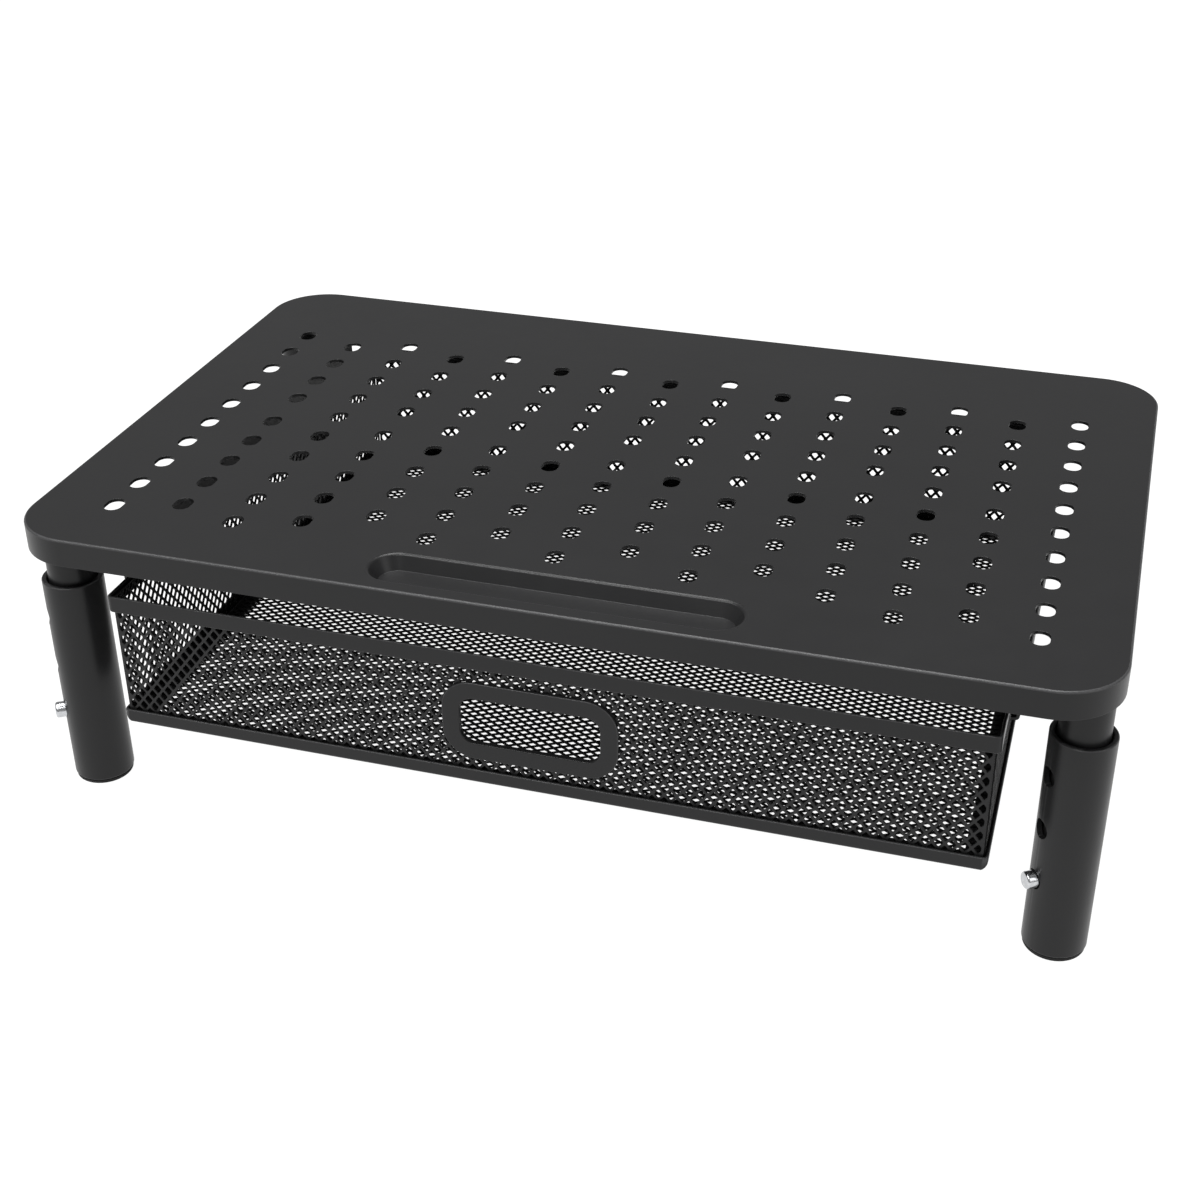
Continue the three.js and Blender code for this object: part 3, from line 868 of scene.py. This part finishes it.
def bottom_frame():
    """The strip round the drawer's foot, folded in to the ledge that carries the floor."""
    path = drawer_path()
    low, top = FRAME_LOW.z, FRAME_HIGH.z
    rings = []

    def ring(profile):
        made = []
        for point, inwards, share in path:
            fold = SIDE_FOLD + (END_FOLD - SIDE_FOLD) * share
            inset, z = profile(fold)
            spot = point + inwards * min(inset, DRAWER_CORNER - FOLD_OVERLAP)
            rest = max(inset - DRAWER_CORNER + FOLD_OVERLAP, 0)
            spot.x -= math.copysign(rest * (1 - share), spot.x)
            spot.y -= math.copysign(rest * share, spot.y - FRAME_MIDDLE.y)
            made.append((spot.x, spot.y, z))
        rings.append(made)

    quarter = [math.pi / 2 * i / FOLD_STEPS for i in range(FOLD_STEPS + 1)]
    for turn in reversed(quarter):
        ring(lambda fold: (fold * (1 - math.cos(turn)), low + fold * (1 - math.sin(turn))))
    edge_z = top - EDGE
    for inset, z in arc(EDGE, edge_z, EDGE, 180, 90, 3) + arc(BAND - EDGE, edge_z, EDGE, 90, 0, 3):
        ring(lambda fold: (inset, z))
    for turn in quarter:
        ring(lambda fold: (
            fold - max(fold - BAND, LEAST_INNER_FOLD) * math.cos(turn),
            low + fold - max(fold - BAND, LEAST_INNER_FOLD) * math.sin(turn),
        ))
    shape = Shape()
    shape.loft(rings)
    inner = rounded(FRAME_HALF.x - LEDGE, FRAME_HALF.y - LEDGE, 0.5, 3, 0, FRAME_MIDDLE.y)
    levels = (low, rings[-1][0][2])
    for rim, level in zip((rings[0], rings[-1]), levels):
        ledge = triangulate([point[:2] for point in rim], [inner])
        shape.sheet(ledge, lambda x, y, level=level: (x, y, level))
    shape.loft([raised(inner, level) for level in levels])
    piece("drawer_bottom_band", shape, PAINT, "drawer", ["drawer_bottom_frame"])


def clip(polygon, low, high):
    """A convex polygon cut to a rectangle."""
    for axis in (0, 1):
        for limit, sign in ((low[axis], 1), (high[axis], -1)):
            kept = []
            for a, b in zip(polygon, polygon[1:] + polygon[:1]):
                one, other = sign * (a[axis] - limit), sign * (b[axis] - limit)
                if one >= 0:
                    kept.append(a)
                if one * other < 0:
                    share = one / (one - other)
                    kept.append((a[0] + (b[0] - a[0]) * share, a[1] + (b[1] - a[1]) * share))
            polygon = kept
    return polygon


def diamonds(low, high, cell, strand, blunt):
    """The openings of expanded metal over a rectangle, whose cells meet at its middle."""
    spacing = cell[0] * cell[1] / math.hypot(*cell)
    half_u, half_v = (size / 2 * (1 - strand / spacing) for size in cell)
    if blunt:
        tip = 1 - blunt
        outline = [(tip, -blunt), (tip, blunt), (blunt, tip), (-blunt, tip)]
        outline += [(-u, -v) for u, v in outline]
    else:
        outline = [(1, 0), (0, 1), (-1, 0), (0, -1)]
    middle = [(a + b) / 2 for a, b in zip(low, high)]
    reach = [int((b - a) / size) + 2 for a, b, size in zip(low, high, cell)]
    openings = []
    for i in range(-reach[0], reach[0] + 1):
        for j in range(-reach[1], reach[1] + 1):
            if (i + j) % 2:
                continue
            u, v = middle[0] + i * cell[0] / 2, middle[1] + j * cell[1] / 2
            opening = clip([(u + a * half_u, v + b * half_v) for a, b in outline], low, high)
            if len(opening) > 2 and area(opening) > SLIVER * half_u * half_v:
                openings.append(opening)
    return openings


def area(polygon):
    return sum(a[0] * b[1] - b[0] * a[1] for a, b in zip(polygon, polygon[1:] + polygon[:1])) / 2


# By default a panel takes the darkened paint, which is painted shade.
def mesh_panel(name, node, low, high, cell, strand, place, blunt=BLUNT, gap=None, paint=SHADED_MESH_PAINT):
    """Expanded metal over a rectangle with a solid margin, and a solid patch round a gap.

    place(u, v, face) is the point at u and v on the outer (0) or inner (1) face of the panel.
    """
    inner_low = [value + MESH_MARGIN for value in low]
    inner_high = [value - MESH_MARGIN for value in high]
    openings = diamonds(inner_low, inner_high, cell, strand, blunt)
    outline = [(low[0], low[1]), (high[0], low[1]), (high[0], high[1]), (low[0], high[1])]
    if gap:
        keep_x, keep_z = (half + GRIP_PATCH for half in GRIP_HALF)
        middle = sum(z for x, z in gap) / len(gap)
        openings = [
            opening for opening in openings
            if all(abs(u) > keep_x or abs(v - middle) > keep_z for u, v in opening)
        ]
        openings.append(gap)
    shape = Shape()
    shape.plate(
        triangulate(outline, openings),
        lambda u, v: place(u, v, 0),
        lambda u, v: place(u, v, 1),
    )
    piece(name, shape, paint, "drawer", [node], smooth=False)


def front_lattice():
    low, high = corners("drawer_front_mesh")
    handle_low, handle_high = corners("drawer_handle_plate")
    grip = rounded(*GRIP_HALF, GRIP_CORNER, 8, 0, (handle_low.z + handle_high.z) / 2)
    # The front panel, out in the light, keeps the top's paint; the other panels take the darker
    # copy, which is painted shade.
    mesh_panel(
        "drawer_front_lattice", "drawer_front_mesh", (low.x, low.z), (high.x, high.z),
        WALL_CELL, FRONT_STRAND, lambda u, v, face: (u, low.y + face * WALL_MESH, v),
        gap=grip, paint=PAINT,
    )


def back_lattice():
    low, high = corners("drawer_back_mesh")
    mesh_panel(
        "drawer_back_lattice", "drawer_back_mesh", (low.x, low.z), (high.x, high.z),
        WALL_CELL, BACK_STRAND, lambda u, v, face: (u, high.y - face * WALL_MESH, v),
    )


def side_lattice(side_name, side):
    node = f"drawer_{side_name}_mesh"
    low, high = corners(node)
    outer = max(abs(low.x), abs(high.x))
    mesh_panel(
        f"drawer_{side_name}_lattice", node, (low.y, low.z), (high.y, high.z),
        WALL_CELL, SIDE_STRAND, lambda u, v, face: (side * (outer - face * WALL_MESH), u, v),
    )


def floor_lattice():
    low, high = corners("drawer_floor_mesh")
    mesh_panel(
        "drawer_floor_lattice", "drawer_floor_mesh", (low.x, low.y), (high.x, high.y),
        FLOOR_CELL, FLOOR_STRAND, lambda u, v, face: (u, v, low.z + face * FLOOR_MESH), blunt=0,
    )


def handle_ring():
    """The plate round the finger opening, with round edges on its front."""
    low, high = corners("drawer_handle_plate")
    middle = (low.z + high.z) / 2
    profile = [(0, high.y)] + arc(HANDLE_EDGE, low.y + HANDLE_EDGE, HANDLE_EDGE, 180, 270, 3)
    rings = []
    for inset, y in profile:
        outline = rounded(HANDLE_HALF[0] - inset, HANDLE_HALF[1] - inset, HANDLE_CORNER - inset, 12)
        rings.append([(x, y, middle + z) for x, z in outline])
    for inset, y in reversed(profile):
        outline = rounded(GRIP_HALF[0] + inset, GRIP_HALF[1] + inset, GRIP_CORNER + inset, 12)
        rings.append([(x, y, middle + z) for x, z in outline])
    shape = Shape()
    shape.loft(rings, closed=True)
    piece("drawer_handle_ring", shape, PAINT, "drawer", ["drawer_handle_plate"])


def drawer_runner(side_name):
    """The strip on the drawer's side that slides in the rail."""
    node = f"drawer_runner_{side_name}"
    low, high = corners(node)
    half, middle = (high - low) / 2, (high + low) / 2
    profile = arc(RUNNER_EDGE, low.y + RUNNER_EDGE, RUNNER_EDGE, 270, 180, 3)
    profile += arc(RUNNER_EDGE, high.y - RUNNER_EDGE, RUNNER_EDGE, 180, 90, 3)
    rings = []
    for inset, y in profile:
        outline = rounded(half.x - inset, half.z - inset, RUNNER_EDGE, 3, middle.x, middle.z)
        rings.append([(x, y, z) for x, z in outline])
    shape = Shape()
    shape.loft(rings)
    shape.cap(rings[0])
    shape.cap(rings[-1])
    piece(f"{node}_strip", shape, PAINT, "drawer", [node])


# ---- The room -----------------------------------------------------------------------------------

def floor():
    """A floor that shines as bright as white paper, and sends back little of the lamps' light."""
    finish = Finish("pale_floor", Roughness=0.9, Emission_Strength=1.0)
    finish.shader.inputs["Emission Color"].default_value = (1, 1, 1, 1)
    cloud = finish.ramp(finish.noise(2, 2), (0.058, 0.058, 0.058), (0.062, 0.062, 0.062))
    finish.drive("Base Color", cloud)
    reach, gap = 6.0, 0.0002  # metres: half its size, and how far it is below the feet
    mesh = bpy.data.meshes.new("floor")
    outline = [(-reach, -reach), (reach, -reach), (reach, reach), (-reach, reach)]
    mesh.from_pydata(raised(outline, 0), [], [(0, 1, 2, 3)])
    mesh.materials.append(finish.material)
    made = bpy.data.objects.new("floor", mesh)
    bpy.context.scene.collection.objects.link(made)
    made.location.z = -gap


def lamp(name, place, target, across, along, watts):
    """A rectangular softbox at a place, aimed at a target."""
    data = bpy.data.lights.new(name, "AREA")
    data.shape = "RECTANGLE"
    data.size, data.size_y, data.energy = across, along, watts
    made = bpy.data.objects.new(name, data)
    made.location = place
    made.rotation_euler = (Vector(target) - Vector(place)).to_track_quat("-Z", "Y").to_euler()
    bpy.context.scene.collection.objects.link(made)


def studio():
    world = bpy.data.worlds.new("studio")
    world.use_nodes = True
    background = world.node_tree.nodes["Background"]
    background.inputs["Color"].default_value = (1, 1, 1, 1)
    background.inputs["Strength"].default_value = 0.3
    bpy.context.scene.world = world
    lamp("softbox_front", (-0.55, -0.98, 1.65), (0, 0, 0.1), 1.8, 0.45, 30)
    lamp("softbox_top", (0.0, 0.15, 1.8), (0, 0, 0.1), 1.2, 0.9, 40)
    lamp("softbox_right", (1.5, -0.6, 0.9), (0.1, 0, 0.06), 0.9, 0.9, 5)
    bpy.context.scene.view_settings.view_transform = "Standard"


def camera():
    down, left = math.radians(30.14), math.radians(16.24)
    data = bpy.data.cameras.new("camera")
    data.sensor_width = 36
    data.lens = 55.40
    data.shift_x = -0.0228
    data.shift_y = -0.0072
    made = bpy.data.objects.new("camera", data)
    made.location = (0.1707, -0.5827, 0.4039)
    made.rotation_euler = (math.pi / 2 - down, 0, left)
    bpy.context.scene.collection.objects.link(made)
    bpy.context.scene.camera = made


# ---- The whole ----------------------------------------------------------------------------------

camera()
studio()
floor()
top_plate()
for place in PLACES:
    leg_tubes(place)
    snap_button(place)
    v_spring(place)
    rubber_foot(place)
    leg_stud(place)
    weld_nut(place)
drawer_rail("left", -1)
drawer_rail("right", 1)
top_frame()
bottom_frame()
front_lattice()
back_lattice()
side_lattice("left", -1)
side_lattice("right", 1)
floor_lattice()
handle_ring()
drawer_runner("left")
drawer_runner("right")
